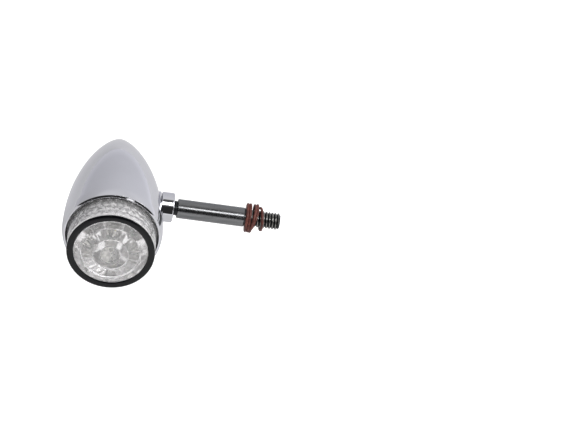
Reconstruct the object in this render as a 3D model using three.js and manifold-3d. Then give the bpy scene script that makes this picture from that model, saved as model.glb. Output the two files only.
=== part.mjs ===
// Bullet turn signal for a motorcycle: a chromed bullet housing with a clear LED lens,
// carried on a hollow threaded side stem with a lock nut.
// Millimetres, +Z up. The origin is the centre of the stem's outboard shoulder.
// +X runs outboard along the stem, the lens faces -Y and the bullet's nose points to +Y.
import * as THREE from 'three';
import { mergeVertices } from 'three/addons/utils/BufferGeometryUtils.js';
import Module from 'manifold-3d';

const wasm = await Module();
wasm.setup();

// ---------------------------------------------------------------- driving dimensions
const CLEARANCE = 0.3;              // between pieces that turn or touch
const SNUG = 0.1;                   // between pieces that are assembled and stay still

// Lamp, on an axis parallel to Y. Heights along the lamp axis are y values.
const LAMP_X = -60.9;               // the lamp axis lies this far inboard of the shoulder
const HOUSING_R = 23.2;             // largest radius of the bullet
const HOUSING_WIDEST_Y = -23.5;
const HOUSING_TIP_Y = 50.2;
const OGIVE_POWER = 0.83;           // shape of the bullet's side, 1 is a parabola
const MOUTH_Y = -29.0;
const MOUTH_R = 21.45;
const RIM_R = 21.75;                // outer edge of the flat rim round the mouth
const BEVEL_R = 22.6;               // the bevel between the rim and the bullet's side starts here
const BEVEL_Y = -28.55;
const SEAT_Y = -19.3;               // step that the lens skirt stops against
const CAVITY_R = 20.1;
const CAVITY_END_Y = 36.0;

const LENS_SKIRT_R = 20.9;
const LENS_FRONT_R = 20.1;
const LENS_WALL = 2.0;
const LENS_SHOULDER_Y = -40.9;      // step that carries the trim ring
const LENS_SPIGOT_R = 16.95;
const LENS_EDGE_Y = -41.7;          // where the domed face starts
const LENS_CROWN_Y = -44.6;         // middle of the domed face

const RING_OUTER_R = 20.2;
const RING_FRONT_Y = -41.9;
const RING_CHAMFER = 0.3;
const RING_BEVEL = 0.75;            // on the outer edge

const SEAL_SECTION_R = 0.72;
const SEAL_R = 20.4;
const SEAL_Y = -25.9;

// Light unit inside the lens.
const LED_COUNT_AROUND = 6;
const LED_PITCH_R = 10.7;
const LED_R = 2.5;
const LED_FLANGE_R = 2.9;
const LED_LENGTH = 8.6;
const BOARD_FRONT_Y = -22.8;
const BOARD_THICKNESS = 1.6;
const BOARD_R = 18.4;
const REFLECTOR_R = 18.6;
const REFLECTOR_RIM_Y = -38.2;
const REFLECTOR_FLOOR_Y = -31.5;
const REFLECTOR_BACK_Y = -24.0;
const CUP_FRONT_R = 5.25;
const CUP_BACK_R = 2.8;
const RESISTOR_R = 1.15;
const RESISTOR_LENGTH = 6.3;
const BOARD_SCREW_R = 1.0;
const BOARD_SCREW_PLACE_R = 15.8;
const SET_SCREW_R = 1.4;
const SET_SCREW_Y = -22.7;
const SET_SCREW_LENGTH = 2.5;
const SCREW_GROOVE_R = 19.8;        // floor of the groove in the lens that the screw enters

// Stem, on the X axis: 5/16 inch thread (7.94 mm) at both ends of a plain shank.
const THREAD_R = 3.97;
const SHANK_R = 4.55;
const SHANK_IN_X = -31.8;
const STEM_IN_X = -50.4;
const STEM_OUT_X = 16.6;
const NECK_R = 3.45;                // where the nut's thread runs out, next to the shank
const RELIEF_R = 3.15;
const RELIEF_LENGTH = 2.4;
const BORE_R = 2.0;
const BORE_END_X = 3.6;
const PORT_X = 1.7;
const PORT_R = 1.7;

const NUT_ACROSS_FLATS = 12.7;
const NUT_IN_X = -39.6;
const NUT_OUT_X = -33.4;
const NUT_TURN = 24;                // degrees, the way the corners happen to stand
const PAD_R = 6.9;                  // seat of the nut on the housing
const BOSS_R = 7.2;                 // tapped boss inside the housing
const BOSS_IN_X = -48.4;

// Leads.
const LEAD_R = 0.62;
const LEAD_OFFSET = 0.75;           // each lead lies this far from the bore's centre
const LEAD_SPLIT_X = -50.7;         // the leads are cut here, at the swivel
const COIL_IN_R = 4.35;
const TIGHT_COIL = { from: 0.32, to: 3.1, r: 7.1 };
const LOOSE_COIL = { from: 3.4, to: 9.2, r: 7.1 };

// ---------------------------------------------------------------- materials
const finish = (color, metalness, roughness, extra = {}) =>
  new THREE.MeshStandardMaterial({ color, metalness, roughness, ...extra });
const chrome = finish(0xc8c8d0, 1.0, 0.08);
const brightSteel = finish(0xa9abae, 1.0, 0.3);
const clearPlastic = finish(0xf4f6f8, 0.0, 0.04, { transparent: true, opacity: 0.3 });
const blackGloss = finish(0x0b0d10, 0.2, 0.12);
const blackRubber = finish(0x121212, 0.0, 0.7);
const silveredPlastic = finish(0xd6d4d0, 1.0, 0.12);
const boardGreen = finish(0x1d4a2c, 0.0, 0.5);
const resistorBody = finish(0xb89a6a, 0.0, 0.6);
const zincSteel = finish(0x9a9c9e, 1.0, 0.35);
const brownLead = finish(0x6e3228, 0.0, 0.5);

// ---------------------------------------------------------------- solid helpers
function solidOf(geometry) {
  const bare = geometry.clone();
  bare.deleteAttribute('normal');
  bare.deleteAttribute('uv');
  const merged = mergeVertices(bare, 1e-4);
  return new wasm.Manifold(new wasm.Mesh({
    numProp: 3,
    vertProperties: Float32Array.from(merged.attributes.position.array),
    triVerts: Uint32Array.from(merged.index.array),
  }));
}

function geometryOf(solid) {
  const mesh = solid.getMesh();
  const geometry = new THREE.BufferGeometry();
  geometry.setAttribute('position', new THREE.BufferAttribute(mesh.vertProperties, 3));
  geometry.setIndex(new THREE.BufferAttribute(mesh.triVerts, 1));
  geometry.computeVertexNormals();
  return geometry;
}

// A body of revolution about Y. The profile is [radius, y] points with y rising on the outside.
function turned(profile, segments = 48) {
  return new THREE.LatheGeometry(profile.map(([r, y]) => new THREE.Vector2(r, y)), segments);
}

// The same about the X axis, with [radius, x] points.
function turnedAboutX(profile, segments = 32) {
  return turned(profile, segments).rotateZ(-Math.PI / 2);
}

// A plain rod along X between two x values, centred at [y, z].
function rodAlongX(radius, from, to, segments = 24, [y, z] = [0, 0]) {
  return turnedAboutX([[0, from], [radius, from], [radius, to], [0, to]], segments).translate(0, y, z);
}

function polar(radius, degrees) {
  const angle = THREE.MathUtils.degToRad(degrees);
  return [radius * Math.cos(angle), radius * Math.sin(angle)];
}

function lead(points) {
  const section = new THREE.Shape();
  section.absarc(0, 0, LEAD_R, 0, 2 * Math.PI, false);
  const path = new THREE.CatmullRomCurve3(points.map((p) => new THREE.Vector3(...p)));
  const steps = Math.ceil(path.getLength() / (4 * LEAD_R));
  return new THREE.ExtrudeGeometry(section, { extrudePath: path, steps, curveSegments: 4 });
}

function piece(name, shape, material) {
  const geometry = shape instanceof wasm.Manifold ? geometryOf(shape) : shape;
  const mesh = new THREE.Mesh(geometry, material);
  mesh.name = name;
  return mesh;
}

// ---------------------------------------------------------------- housing
// Radius of the bullet at y, for a given widest radius and nose position.
function ogive(y, widest, tip) {
  const t = (y - HOUSING_WIDEST_Y) / (tip - HOUSING_WIDEST_Y);
  return widest * Math.max(0, 1 - t * t) ** OGIVE_POWER;
}

// Points along an ogive from one y to its tip, closer together towards the tip.
function ogivePoints(from, widest, tip, count) {
  const points = [];
  for (let i = 0; i < count; i += 1) {
    const y = tip - (tip - from) * (1 - i / count) ** 1.7;
    points.push([ogive(y, widest, tip), y]);
  }
  points.push([0, tip]);
  return points;
}

function lipPoints(count) {
  const points = [];
  for (let i = 0; i < count; i += 1) {
    const u = 1 - i / count;
    const r = BEVEL_R + (HOUSING_R - BEVEL_R) * (1 - u * u);
    points.push([r, HOUSING_WIDEST_Y + u * (BEVEL_Y - HOUSING_WIDEST_Y)]);
  }
  return points;
}

function makeHousing() {
  const padX = NUT_IN_X - CLEARANCE - LAMP_X;
  const outside = solidOf(turned([
    [0, MOUTH_Y],
    [RIM_R, MOUTH_Y],
    ...lipPoints(4),
    ...ogivePoints(HOUSING_WIDEST_Y, HOUSING_R, HOUSING_TIP_Y, 13),
  ]));
  const mouth = solidOf(turned([[0, MOUTH_Y - 1], [MOUTH_R, MOUTH_Y - 1], [MOUTH_R, SEAT_Y], [0, SEAT_Y]]));
  const cavity = solidOf(turned([
    [0, SEAT_Y - 1],
    ...ogivePoints(SEAT_Y - 1, CAVITY_R, CAVITY_END_Y, 9),
  ]));
  const bossInX = BOSS_IN_X - LAMP_X;
  const pad = solidOf(rodAlongX(PAD_R, padX - 4, padX, 32));
  const boss = solidOf(rodAlongX(BOSS_R, bossInX, padX - 2, 32));
  const spotFace = solidOf(rodAlongX(PAD_R + 1, padX, padX + 5, 32));
  const stemHole = solidOf(rodAlongX(THREAD_R + CLEARANCE, bossInX - 1, padX + 1, 32));
  const screwHole = solidOf(new THREE.CylinderGeometry(SET_SCREW_R + SNUG, SET_SCREW_R + SNUG, 6, 16)
    .rotateX(Math.PI / 2).translate(0, SET_SCREW_Y, -HOUSING_R + 1));
  return outside.subtract(mouth).subtract(cavity).add(pad).add(boss)
    .subtract(spotFace).subtract(stemHole).subtract(screwHole);
}

// ---------------------------------------------------------------- lens, ring and seal
// Points of a dome from the middle outwards, or from the edge inwards when reversed.
function domePoints(edgeR, edgeY, crownY, count) {
  const points = [];
  for (let i = 0; i <= count; i += 1) {
    const r = (edgeR * i) / count;
    points.push([r, crownY + (edgeY - crownY) * (r / edgeR) ** 2]);
  }
  return points;
}

function makeLens() {
  const innerR = LENS_SKIRT_R - LENS_WALL;
  const innerEdgeY = LENS_SHOULDER_Y + LENS_WALL - 0.4;
  const sealGrooveR = SEAL_R - SEAL_SECTION_R - 0.15;
  const sealGrooveHalf = SEAL_SECTION_R + 0.15;
  const screwGrooveHalf = SET_SCREW_R + 0.2;
  const skirtEndY = SEAT_Y - SNUG;
  return turned([
    ...domePoints(LENS_SPIGOT_R, LENS_EDGE_Y, LENS_CROWN_Y, 6),
    [LENS_SPIGOT_R, LENS_SHOULDER_Y],
    [LENS_FRONT_R, LENS_SHOULDER_Y],
    [LENS_SKIRT_R, MOUTH_Y],
    ...groove(SEAL_Y, sealGrooveHalf, sealGrooveR),
    ...groove(SET_SCREW_Y, screwGrooveHalf, SCREW_GROOVE_R),
    [LENS_SKIRT_R, skirtEndY],
    [innerR, skirtEndY],
    [innerR, innerEdgeY],
    ...domePoints(LENS_SPIGOT_R - LENS_WALL / 2, LENS_EDGE_Y + LENS_WALL, LENS_CROWN_Y + LENS_WALL, 5).reverse(),
  ]);
}

// A square groove round the outside of the lens skirt.
function groove(y, half, floorR) {
  return [
    [LENS_SKIRT_R, y - half],
    [floorR, y - half],
    [floorR, y + half],
    [LENS_SKIRT_R, y + half],
  ];
}

function makeTrimRing() {
  const innerR = LENS_SPIGOT_R + 0.15;
  const backY = LENS_SHOULDER_Y - SNUG;
  return turned([
    [innerR + RING_CHAMFER, RING_FRONT_Y],
    [RING_OUTER_R - RING_BEVEL, RING_FRONT_Y],
    [RING_OUTER_R, RING_FRONT_Y + RING_BEVEL],
    [RING_OUTER_R, backY],
    [innerR, backY],
    [innerR, RING_FRONT_Y + RING_CHAMFER],
    [innerR + RING_CHAMFER, RING_FRONT_Y],
  ]);
}

function makeLensSeal() {
  const sides = 8;
  const profile = [];
  for (let i = 0; i <= sides; i += 1) {
    const [r, y] = polar(SEAL_SECTION_R, (360 * i) / sides + 180 / sides);
    profile.push([SEAL_R + r, SEAL_Y + y]);
  }
  profile[sides] = profile[0];
  return turned(profile);
}

// ---------------------------------------------------------------- light unit
const ledPlaces = [[0, 0]];
for (let i = 0; i < LED_COUNT_AROUND; i += 1) {
  ledPlaces.push(polar(LED_PITCH_R, 90 + (360 * i) / LED_COUNT_AROUND));
}
const boardScrewPlaces = [60, 240].map((degrees) => polar(BOARD_SCREW_PLACE_R, degrees));
const boardBackY = BOARD_FRONT_Y + BOARD_THICKNESS;

// A short rod along Y at a place on the board, between two y values.
function rodAlongY(radius, from, to, [x, z], segments = 16) {
  return turned([[0, from], [radius, from], [radius, to], [0, to]], segments).translate(x, 0, z);
}

function makeReflector() {
  let body = solidOf(turned([
    [0, REFLECTOR_FLOOR_Y],
    [REFLECTOR_R - 2.4, REFLECTOR_FLOOR_Y],
    [REFLECTOR_R - 0.7, REFLECTOR_RIM_Y],
    [REFLECTOR_R, REFLECTOR_RIM_Y],
    [REFLECTOR_R, REFLECTOR_BACK_Y],
    [0, REFLECTOR_BACK_Y],
  ]));
  const overshoot = 0.5;
  for (const [x, z] of ledPlaces) {
    const cup = turned([
      [0, REFLECTOR_FLOOR_Y - overshoot],
      [CUP_FRONT_R, REFLECTOR_FLOOR_Y - overshoot],
      [CUP_FRONT_R - 0.8, REFLECTOR_FLOOR_Y + 2.4],
      [CUP_BACK_R, REFLECTOR_BACK_Y - 1.2],
      [CUP_BACK_R, REFLECTOR_BACK_Y + overshoot],
      [0, REFLECTOR_BACK_Y + overshoot],
    ], 20).translate(x, 0, z);
    body = body.subtract(solidOf(cup));
  }
  for (const place of boardScrewPlaces) {
    const hole = rodAlongY(BOARD_SCREW_R + SNUG, REFLECTOR_BACK_Y - 4.2, REFLECTOR_BACK_Y + overshoot, place);
    body = body.subtract(solidOf(hole));
  }
  return body;
}

function makeLedBoard() {
  let board = solidOf(rodAlongY(BOARD_R, BOARD_FRONT_Y, boardBackY, [0, 0], 48));
  for (const place of boardScrewPlaces) {
    const hole = rodAlongY(BOARD_SCREW_R + 2 * SNUG, BOARD_FRONT_Y - 1, boardBackY + 1, place);
    board = board.subtract(solidOf(hole));
  }
  return board;
}

function makeLed([x, z]) {
  const baseY = BOARD_FRONT_Y - SNUG;
  const domeY = baseY - LED_LENGTH + LED_R;
  const profile = [];
  for (let degrees = 0; degrees < 90; degrees += 22.5) {
    const [across, along] = polar(LED_R, degrees);
    profile.unshift([across, domeY - along]);
  }
  profile.unshift([0, domeY - LED_R]);
  profile.push([LED_R, baseY - 1], [LED_FLANGE_R, baseY - 1], [LED_FLANGE_R, baseY], [0, baseY]);
  return turned(profile, 16).translate(x, 0, z);
}

function makeResistor(index) {
  const half = RESISTOR_LENGTH / 2;
  const bodyY = boardBackY + RESISTOR_R + SNUG;
  return turned([
    [0, -half],
    [RESISTOR_R, -half],
    [RESISTOR_R, -half + 1.4],
    [RESISTOR_R * 0.82, -half + 1.8],
    [RESISTOR_R * 0.82, half - 1.8],
    [RESISTOR_R, half - 1.4],
    [RESISTOR_R, half],
    [0, half],
  ], 12).rotateZ(-Math.PI / 2).translate(-9, bodyY, (index - 1) * 4.5);
}

function makeBoardScrew([x, z]) {
  const headY = boardBackY + SNUG;
  return turned([
    [0, REFLECTOR_BACK_Y - 4],
    [BOARD_SCREW_R, REFLECTOR_BACK_Y - 4],
    [BOARD_SCREW_R, headY],
    [1.9, headY],
    [1.9, headY + 0.8],
    [1.2, headY + 1.4],
    [0, headY + 1.4],
  ], 16).translate(x, 0, z);
}

function makeSetScrew() {
  const length = SET_SCREW_LENGTH;
  const outerZ = -ogive(SET_SCREW_Y, HOUSING_R, HOUSING_TIP_Y) + 0.3;
  const body = solidOf(new THREE.CylinderGeometry(SET_SCREW_R, SET_SCREW_R, length, 16)
    .rotateX(Math.PI / 2).translate(0, SET_SCREW_Y, outerZ + length / 2));
  const socket = solidOf(new THREE.CylinderGeometry(0.85, 0.85, 2, 6)
    .rotateX(Math.PI / 2).translate(0, SET_SCREW_Y, outerZ));
  return body.subtract(socket);
}

// ---------------------------------------------------------------- stem and nut
function makeStem() {
  const chamfer = 0.4;
  const endChamfer = 0.8;
  const body = solidOf(turnedAboutX([
    [0, STEM_IN_X],
    [THREAD_R - endChamfer, STEM_IN_X],
    [THREAD_R, STEM_IN_X + endChamfer],
    [THREAD_R, NUT_OUT_X - CLEARANCE],
    [NECK_R, NUT_OUT_X - CLEARANCE],
    [NECK_R, SHANK_IN_X],
    [SHANK_R - chamfer, SHANK_IN_X],
    [SHANK_R, SHANK_IN_X + chamfer],
    [SHANK_R, -chamfer],
    [SHANK_R - chamfer, 0],
    [RELIEF_R, 0],
    [RELIEF_R, RELIEF_LENGTH - chamfer],
    [THREAD_R, RELIEF_LENGTH + chamfer],
    [THREAD_R, STEM_OUT_X - endChamfer],
    [THREAD_R - endChamfer, STEM_OUT_X],
    [0, STEM_OUT_X],
  ]));
  const bore = solidOf(rodAlongX(BORE_R, STEM_IN_X - 1, BORE_END_X, 20));
  const port = solidOf(new THREE.CylinderGeometry(PORT_R, PORT_R, 2 * THREAD_R, 20)
    .translate(PORT_X, THREAD_R, 0));
  return body.subtract(bore).subtract(port);
}

function makeLockNut() {
  const cornerR = NUT_ACROSS_FLATS / Math.sqrt(3);
  const chamferR = NUT_ACROSS_FLATS / 2;
  const chamfer = 0.55;
  const blank = solidOf(new THREE.CylinderGeometry(cornerR, cornerR, NUT_OUT_X - NUT_IN_X, 6)
    .rotateZ(-Math.PI / 2).rotateX(THREE.MathUtils.degToRad(NUT_TURN))
    .translate((NUT_IN_X + NUT_OUT_X) / 2, 0, 0));
  const barrel = solidOf(turnedAboutX([
    [0, NUT_IN_X],
    [chamferR, NUT_IN_X],
    [cornerR + 0.1, NUT_IN_X + chamfer],
    [cornerR + 0.1, NUT_OUT_X - chamfer],
    [chamferR, NUT_OUT_X],
    [0, NUT_OUT_X],
  ]));
  const hole = solidOf(rodAlongX(THREAD_R + CLEARANCE, NUT_IN_X - 1, NUT_OUT_X + 1));
  return blank.intersect(barrel).subtract(hole);
}

// ---------------------------------------------------------------- leads
// Side is +1 for the power lead and -1 for the ground lead.
function headLead(side) {
  const z = side * LEAD_OFFSET;
  const startX = LAMP_X + 2.5;
  return lead([
    [startX, boardBackY + SNUG, 2 * z],
    [startX, boardBackY + 6, 2 * z],
    [startX + 1.2, -8, 1.6 * z],
    [startX + 4, -1.6, z],
    [LEAD_SPLIT_X - 2, 0, z],
    [LEAD_SPLIT_X - CLEARANCE / 2, 0, z],
  ]);
}

function stemLead(side) {
  const z = side * LEAD_OFFSET;
  return lead([
    [LEAD_SPLIT_X + CLEARANCE / 2, 0, z],
    [SHANK_IN_X, 0, z],
    [SHANK_IN_X / 2, 0, z],
    [PORT_X - 3, 0, z],
    [PORT_X - 0.9, 0.5, z],
    [PORT_X, 2, z],
    [PORT_X, COIL_IN_R - CLEARANCE, z],
  ]);
}

function leadCoil({ from, to, r }) {
  const round = 0.8;
  return turnedAboutX([
    [COIL_IN_R, from],
    [r - round, from],
    [r, from + round],
    [r, to - round],
    [r - round, to],
    [COIL_IN_R, to],
    [COIL_IN_R, from],
  ], 24);
}

// ---------------------------------------------------------------- assembly
const lamp = new THREE.Group();
lamp.position.set(LAMP_X, 0, 0);
lamp.add(
  piece('housing', makeHousing(), chrome),
  piece('lens', makeLens(), clearPlastic),
  piece('trim_ring', makeTrimRing(), blackGloss),
  piece('lens_seal', makeLensSeal(), blackRubber),
  piece('reflector', makeReflector(), silveredPlastic),
  piece('led_board', makeLedBoard(), boardGreen),
  piece('lens_set_screw', makeSetScrew(), zincSteel),
);
ledPlaces.forEach((place, i) => lamp.add(piece(`led_${i + 1}`, makeLed(place), clearPlastic)));
for (let i = 0; i < 3; i += 1) {
  lamp.add(piece(`resistor_${i + 1}`, makeResistor(i), resistorBody));
}
boardScrewPlaces.forEach((place, i) => {
  lamp.add(piece(`board_screw_${i + 1}`, makeBoardScrew(place), zincSteel));
});

const turnSignal = new THREE.Group();
turnSignal.add(
  lamp,
  piece('power_lead_head', headLead(1), brownLead),
  piece('ground_lead_head', headLead(-1), brownLead),
  piece('stem', makeStem(), brightSteel),
  piece('lock_nut', makeLockNut(), chrome),
  piece('power_lead_stem', stemLead(1), brownLead),
  piece('ground_lead_stem', stemLead(-1), brownLead),
  piece('lead_coil_tight', leadCoil(TIGHT_COIL), brownLead),
  piece('lead_coil_loose', leadCoil(LOOSE_COIL), brownLead),
);

export default turnSignal;
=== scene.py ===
"""Looks of a chromed bullet turn signal with a clear LED lens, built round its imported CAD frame.

Shapes are worked out in millimetres, and turned into metres as each mesh is made. The lamp's
axis runs along Y, the stem's along X, and the origin is the stem's outboard shoulder.
"""
import math

import bmesh
import bpy
from mathutils import Matrix, Vector, noise


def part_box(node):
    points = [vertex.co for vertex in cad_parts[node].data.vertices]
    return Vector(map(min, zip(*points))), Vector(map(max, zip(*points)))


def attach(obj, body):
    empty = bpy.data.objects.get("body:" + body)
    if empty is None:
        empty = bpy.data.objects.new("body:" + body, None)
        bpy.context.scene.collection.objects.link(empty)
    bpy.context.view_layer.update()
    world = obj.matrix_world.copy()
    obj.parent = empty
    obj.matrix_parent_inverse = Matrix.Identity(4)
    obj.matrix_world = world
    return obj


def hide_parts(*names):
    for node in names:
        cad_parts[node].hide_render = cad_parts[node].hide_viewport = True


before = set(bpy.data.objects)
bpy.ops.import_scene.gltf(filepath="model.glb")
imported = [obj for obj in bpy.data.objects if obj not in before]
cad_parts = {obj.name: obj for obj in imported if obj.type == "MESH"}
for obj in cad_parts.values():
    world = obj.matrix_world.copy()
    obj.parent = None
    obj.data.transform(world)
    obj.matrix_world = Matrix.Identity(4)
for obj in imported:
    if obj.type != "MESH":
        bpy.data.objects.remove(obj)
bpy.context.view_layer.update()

MM = 0.001
HEAD = "head"
STEM_BODY = "stem_assembly"
NUT_BODY = "nut"


# ---------------------------------------------------------------- dimensions, in millimetres
def corners(node):
    """Lowest and highest corner of a CAD node."""
    low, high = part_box(node)
    return low / MM, high / MM


_, housing_high = corners("housing")
lens_low, lens_high = corners("lens")
ring_low, ring_high = corners("trim_ring")
seal_low, seal_high = corners("lens_seal")
reflector_low, reflector_high = corners("reflector")
board_low, board_high = corners("led_board")
nut_low, nut_high = corners("lock_nut")
stem_low, stem_high = corners("stem")

# Lamp
LAMP_X = (lens_low.x + lens_high.x) / 2
HOUSING_R = housing_high.z
MOUTH_Y = -29.0
TIP_Y = housing_high.y
WIDEST_Y = -23.5
OGIVE_POWER = 0.83
MOUTH_R = 21.45
RIM_R = 21.75             # outer edge of the flat rim round the mouth
BEVEL_R = 22.6
BEVEL_Y = -28.55
SEAT_Y = -19.3
CAVITY_R = 20.1
CAVITY_END_Y = 36.0
PAD_X = nut_low.x - 0.3
PAD_R = 6.9
BOSS_R = 7.2
BOSS_IN_X = -48.4

LENS_SKIRT_R = (lens_high.x - lens_low.x) / 2
LENS_CROWN_Y = lens_low.y
LENS_BACK_Y = lens_high.y
LENS_WALL = 2.0
LENS_FRONT_R = 20.1
LENS_NECK_R = 20.45       # leaves a dark gap inside the mouth
LENS_SHOULDER_Y = -40.9
LENS_SPIGOT_R = 16.95
LENS_EDGE_Y = -41.7
# Each step of the lens's face has an inner and an outer radius, and how far it sinks outwards.
LENS_STEPS = ((0, 4.8, 0.6), (4.8, 8.2, 0.7), (8.2, 13.4, 0.8))
LENS_GROOVE_HALF = 0.3
LENS_GROOVE_DEPTH = 0.4
LENS_INNER_STEP_R = 13.8
LENS_INNER_STEP = 0.7
RIPPLE_SIZE = 1.4
RIPPLE_HEIGHT = 0.26
FACE_RIPPLE_SHARE = 0.2
FLUTE_COUNT = 30
FLUTE_DEPTH = 0.07

RING_OUTER_R = (ring_high.x - ring_low.x) / 2
RING_INNER_R = LENS_SPIGOT_R + 0.15
RING_BEVEL = 0.5
RING_TILT = 27.0          # how far the crowned face turns away at its edges, in degrees
SEAL_Y = (seal_low.y + seal_high.y) / 2
SEAL_R = 20.4
SEAL_SECTION_R = 0.72

# Light unit
LED_COUNT_AROUND = 6
LED_PITCH_R = 10.7
LED_R = 2.5
LED_FLANGE_R = 2.9
LED_LENGTH = 8.6
LED_FLAT = 2.55           # from the axis to the flat on the flange
LED_PIN_OFFSET = 1.27
BOARD_FRONT_Y = board_low.y
BOARD_BACK_Y = board_high.y
REFLECTOR_R = (reflector_high.x - reflector_low.x) / 2
REFLECTOR_RIM_Y = reflector_low.y
REFLECTOR_BACK_Y = reflector_high.y
REFLECTOR_FLOOR_Y = -31.5
CUP_FRONT_R = 5.25
CUP_BACK_R = 2.8
BOARD_SCREW_R = 1.0
BOARD_SCREW_PLACE_R = 15.8
BOARD_SCREW_ROOT_R = 0.72
BOARD_SCREW_PITCH = 0.7
BOARD_SCREW_HEAD_R = 1.9
RESISTOR_WIRE_R = 0.27
SET_SCREW_R = 1.4
SET_SCREW_Y = -22.7
SET_SCREW_LENGTH = 2.5
SET_SCREW_PITCH = 0.5
SCREW_GROOVE_R = 19.8

# Stem, nut and leads
THREAD_PITCH = 25.4 / 18
THREAD_R = 3.97
THREAD_ROOT_R = 3.3
STEM_IN_X = stem_low.x
STEM_OUT_X = stem_high.x
SHANK_R = stem_high.z
SHANK_IN_X = -31.8
NECK_R = 3.45
RELIEF_R = 3.15
RELIEF_LENGTH = 2.4
BORE_R = 2.0
BORE_END_X = 3.6
PORT_X = 1.7
PORT_R = 1.7
NUT_ACROSS_FLATS = 12.7
NUT_TURN = 24.0
NUT_IN_X = nut_low.x
NUT_OUT_X = nut_high.x
LEAD_R = 0.62
LEAD_OFFSET = 0.75
LEAD_EXIT_Y = 4.1
LEAD_SPLIT_X = -50.7


# ---------------------------------------------------------------- mesh building
ALONG_X = Matrix(((0, 0, 1, 0), (1, 0, 0, 0), (0, 1, 0, 0), (0, 0, 0, 1)))
ALONG_Y = Matrix(((0, 1, 0, 0), (0, 0, 1, 0), (1, 0, 0, 0), (0, 0, 0, 1)))


def on_lamp(x=0.0, z=0.0):
    """Places a shape made along its own Z axis onto the lamp's axis, or beside it."""
    return Matrix.Translation((LAMP_X + x, 0, z)) @ ALONG_Y


def polar(radius, degrees):
    angle = math.radians(degrees)
    return radius * math.cos(angle), radius * math.sin(angle)


def filleted(outline, steps=4):
    """The outline with each corner (across, along, radius) that has a radius rounded off."""
    points = []
    for i, (across, along, *radius) in enumerate(outline):
        here = Vector((across, along))
        if not radius:
            points.append(here)
            continue
        to_last = (Vector(outline[i - 1][:2]) - here).normalized()
        to_next = (Vector(outline[(i + 1) % len(outline)][:2]) - here).normalized()
        half = to_last.angle(to_next) / 2
        centre = here + (to_last + to_next).normalized() * radius[0] / math.sin(half)
        start = here + to_last * radius[0] / math.tan(half) - centre
        end = here + to_next * radius[0] / math.tan(half) - centre
        for step in range(steps + 1):
            points.append(centre + start.slerp(end, step / steps).normalized() * radius[0])
    return points


def spin(profile, place, segments=96, closed=False, relief=None):
    """A body of revolution as (vertices, faces). The profile holds (radius, along) points, and
    relief(radius, along, turn) may move each point of it, with turn from 0 to 1."""
    vertices, rings, faces = [], [], []
    for radius, along in profile:
        first = len(vertices)
        if radius < 1e-6:
            rings.append([first] * segments)
            vertices.append(place @ Vector((0, 0, along)))
            continue
        rings.append(range(first, first + segments))
        for i in range(segments):
            turn = i / segments
            r, a = relief(radius, along, turn) if relief else (radius, along)
            vertices.append(place @ Vector((*polar(r, 360 * turn), a)))
    pairs = list(zip(rings, rings[1:])) + ([(rings[-1], rings[0])] if closed else [])
    for low, high in pairs:
        for i in range(segments):
            j = (i + 1) % segments
            corner_ids = dict.fromkeys((low[i], low[j], high[j], high[i]))
            if len(corner_ids) > 2:
                faces.append(list(corner_ids))
    return vertices, faces


def prism(sides, radius, low, high, place, turn=0.0):
    """A straight prism between two heights along its axis."""
    return spin(
        [(0, low), (radius, low), (radius, high), (0, high)],
        place @ Matrix.Rotation(math.radians(turn), 4, "Z"), sides,
    )


def smooth_path(points, step):
    """Evenly spaced points on a Catmull-Rom curve through the given ones."""
    points = [Vector(p) for p in points]
    padded = [2 * points[0] - points[1], *points, 2 * points[-1] - points[-2]]
    fine = []
    for a, b, c, d in zip(padded, padded[1:], padded[2:], padded[3:]):
        count = max(2, math.ceil((c - b).length / step))
        for i in range(count):
            t = i / count
            fine.append(0.5 * (2 * b + (c - a) * t + (2 * a - 5 * b + 4 * c - d) * t ** 2
                               + (3 * b - 3 * c + d - a) * t ** 3))
    fine.append(points[-1])
    return fine


def tube(points, radius, sides=16):
    """A closed round tube along points, with its section carried along without twist."""
    vertices, faces = [], []
    normal = None
    for i, point in enumerate(points):
        tangent = (points[min(i + 1, len(points) - 1)] - points[max(i - 1, 0)]).normalized()
        if normal is None:
            normal = tangent.orthogonal().normalized()
        normal = (normal - tangent * normal.dot(tangent)).normalized()
        side = tangent.cross(normal)
        for k in range(sides):
            across, up = polar(radius, 360 * k / sides)
            vertices.append(point + normal * across + side * up)
    for i in range(len(points) - 1):
        for k in range(sides):
            low, high = i * sides, (i + 1) * sides
            j = (k + 1) % sides
            faces.append([low + k, low + j, high + j, high + k])
    faces.append(list(range(sides)))
    faces.append(list(range(len(vertices) - sides, len(vertices))))
    return vertices, faces


def thread(low, high, pitch, crest_r, root_r, place, blank=None, sides=64):
    """A right-hand outside thread between two heights. Its rows follow the helix, so that the
    crests stay crisp. blank(along) gives the radius that the ends are turned down to."""
    depth = crest_r - root_r
    section = [(0.0, 0), (0.06, 0.03), (0.12, 0.16), (0.32, 0.88), (0.38, 1), (0.62, 1),
               (0.68, 0.88), (0.88, 0.16), (0.94, 0.03)]

    def radius_at(along, turn):
        phase = ((along - low) / pitch - turn) % 1.0
        for (a, share_a), (b, share_b) in zip(section, [*section[1:], (1.0, 0)]):
            if a <= phase <= b:
                share = share_a + (share_b - share_a) * (phase - a) / (b - a)
                break
        radius = root_r + depth * share
        return min(radius, blank(along)) if blank else radius

    turns = math.ceil((high - low) / pitch) + 1
    rows = [(k + phase) * pitch + low for k in range(-1, turns) for phase, _ in section]
    vertices, faces = [], []
    for row in rows:
        for i in range(sides):
            turn = i / sides
            along = min(max(row + pitch * turn, low), high)
            vertices.append(place @ Vector((*polar(radius_at(along, turn), 360 * turn), along)))
    for n in range(len(rows) - 1):
        for i in range(sides):
            if i + 1 < sides:
                after, after_high = n * sides + i + 1, (n + 1) * sides + i + 1
            else:
                after = (n + len(section)) * sides
                after_high = after + sides
            if after_high < len(vertices):
                faces.append([n * sides + i, after, after_high, (n + 1) * sides + i])
    return vertices, faces


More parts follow.
